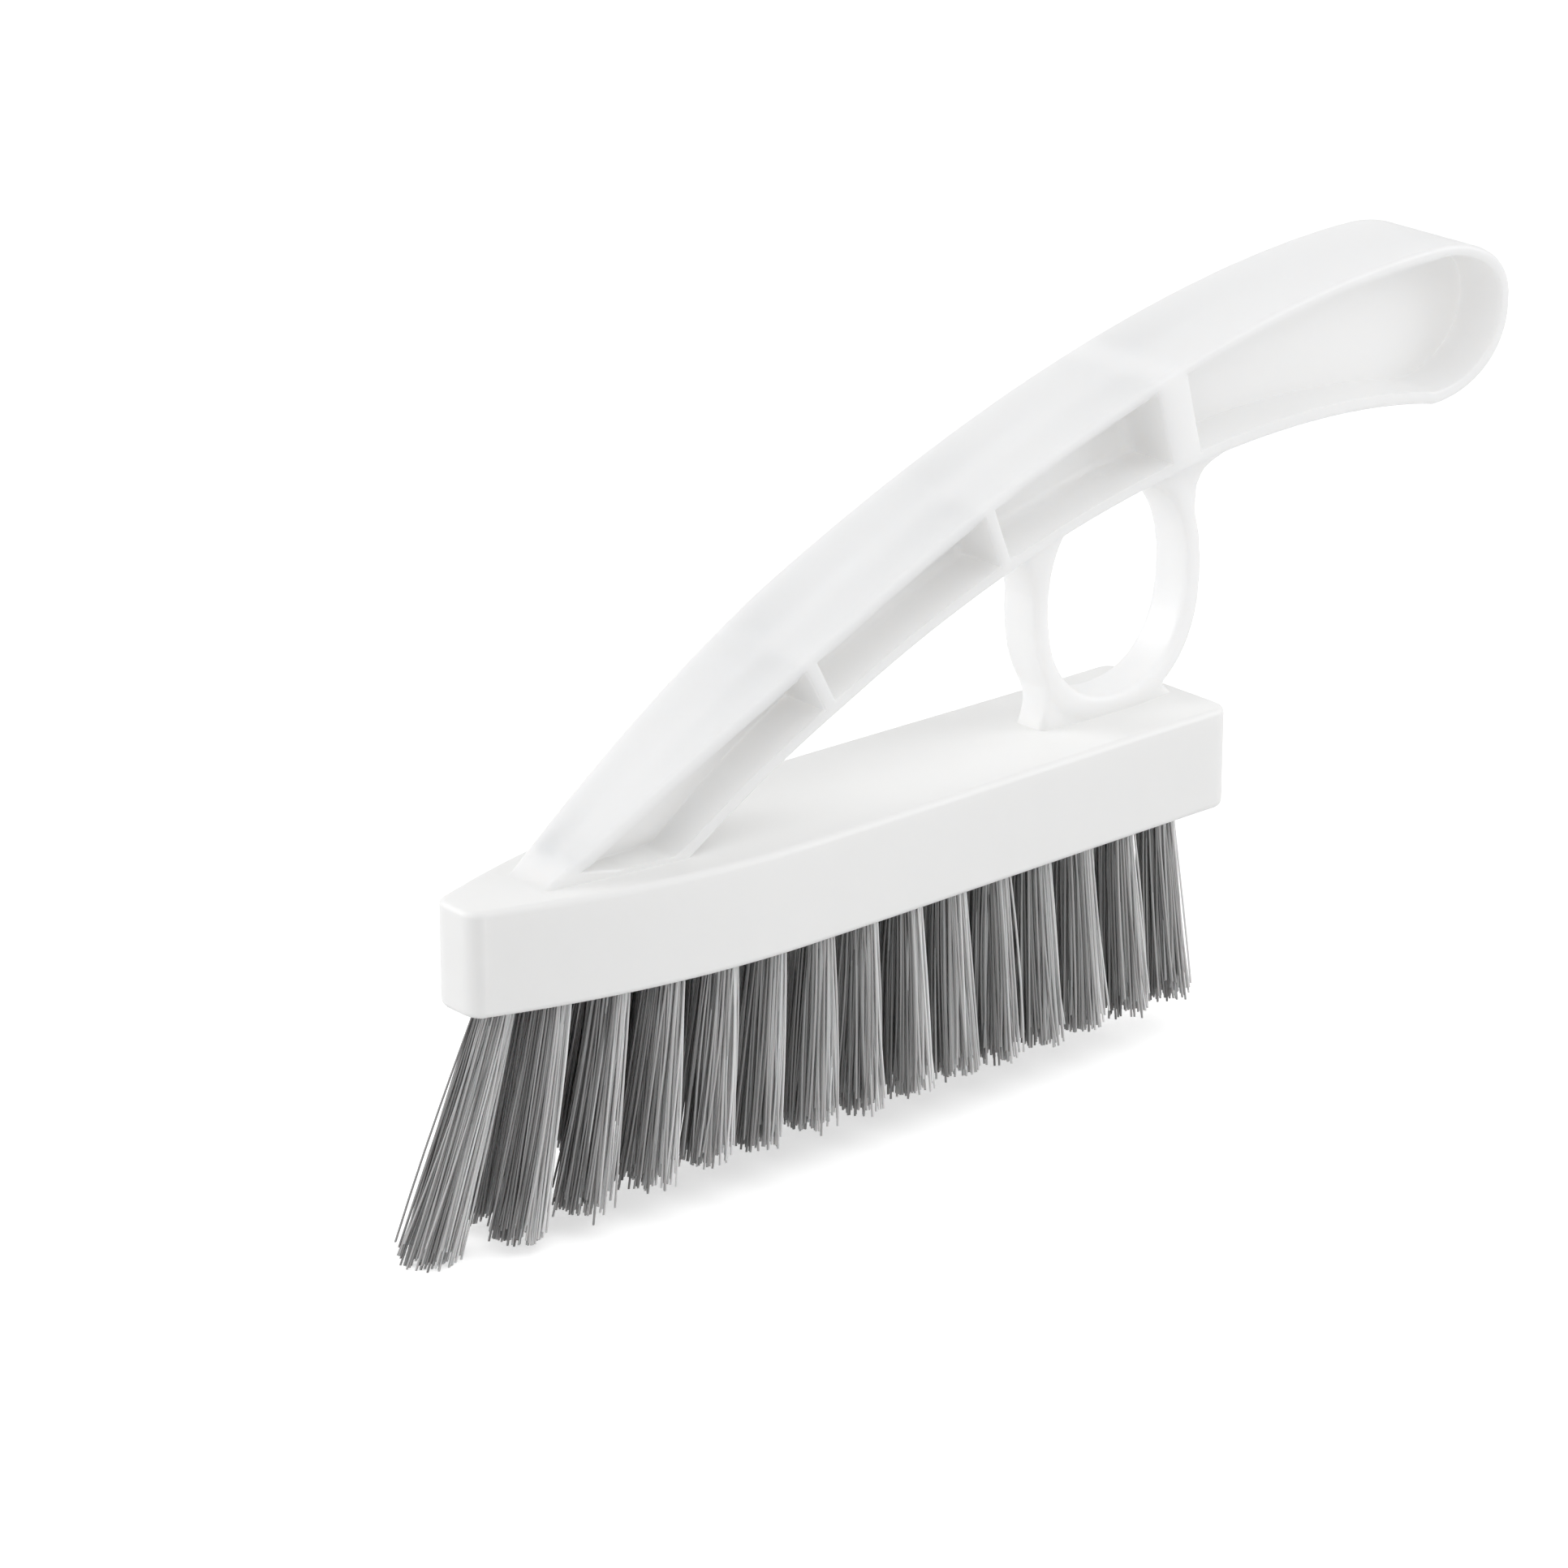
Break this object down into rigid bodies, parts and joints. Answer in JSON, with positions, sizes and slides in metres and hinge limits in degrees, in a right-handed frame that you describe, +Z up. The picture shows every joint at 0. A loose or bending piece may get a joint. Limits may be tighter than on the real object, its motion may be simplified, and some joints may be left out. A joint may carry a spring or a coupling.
{
  "type": "bathroom cleaning brush",
  "caption": "Hand brush with a boat-shaped block, an arched open-sided handle, a finger ring under it and grey bristle tufts that lean out at the nose.",
  "frame": {"origin": "centre of the bounding box's bottom, under the tips of the longest bristles", "axes": "+X from the nose to the handle's end, +Y across the brush, +Z up"},
  "size_m": [0.1582, 0.0214, 0.086],
  "materials": {
    "white_plastic": "satin",
    "grey_bristle": "matte",
    "anchor_steel": "brushed"
  },
  "bodies": {
    "root": {"brush_body": "white_plastic", "tuft_nose": "grey_bristle", "tuft_near_01": "grey_bristle", "tuft_far_01": "grey_bristle", "tuft_near_02": "grey_bristle", "tuft_far_02": "grey_bristle", "tuft_near_03": "grey_bristle", "tuft_far_03": "grey_bristle", "tuft_near_04": "grey_bristle", "tuft_far_04": "grey_bristle", "tuft_near_05": "grey_bristle", "tuft_far_05": "grey_bristle", "tuft_near_06": "grey_bristle", "tuft_far_06": "grey_bristle", "tuft_near_07": "grey_bristle", "tuft_far_07": "grey_bristle", "tuft_near_08": "grey_bristle", "tuft_far_08": "grey_bristle", "tuft_near_09": "grey_bristle", "tuft_far_09": "grey_bristle", "tuft_near_10": "grey_bristle", "tuft_far_10": "grey_bristle", "tuft_near_11": "grey_bristle", "tuft_far_11": "grey_bristle", "tuft_near_12": "grey_bristle", "tuft_far_12": "grey_bristle", "tuft_near_13": "grey_bristle", "tuft_far_13": "grey_bristle", "tuft_near_14": "grey_bristle", "tuft_far_14": "grey_bristle", "anchor_nose": "anchor_steel", "anchor_near_01": "anchor_steel", "anchor_far_01": "anchor_steel", "anchor_near_02": "anchor_steel", "anchor_far_02": "anchor_steel", "anchor_near_03": "anchor_steel", "anchor_far_03": "anchor_steel", "anchor_near_04": "anchor_steel", "anchor_far_04": "anchor_steel", "anchor_near_05": "anchor_steel", "anchor_far_05": "anchor_steel", "anchor_near_06": "anchor_steel", "anchor_far_06": "anchor_steel", "anchor_near_07": "anchor_steel", "anchor_far_07": "anchor_steel", "anchor_near_08": "anchor_steel", "anchor_far_08": "anchor_steel", "anchor_near_09": "anchor_steel", "anchor_far_09": "anchor_steel", "anchor_near_10": "anchor_steel", "anchor_far_10": "anchor_steel", "anchor_near_11": "anchor_steel", "anchor_far_11": "anchor_steel", "anchor_near_12": "anchor_steel", "anchor_far_12": "anchor_steel", "anchor_near_13": "anchor_steel", "anchor_far_13": "anchor_steel", "anchor_near_14": "anchor_steel", "anchor_far_14": "anchor_steel"}
  },
  "joints": []
}
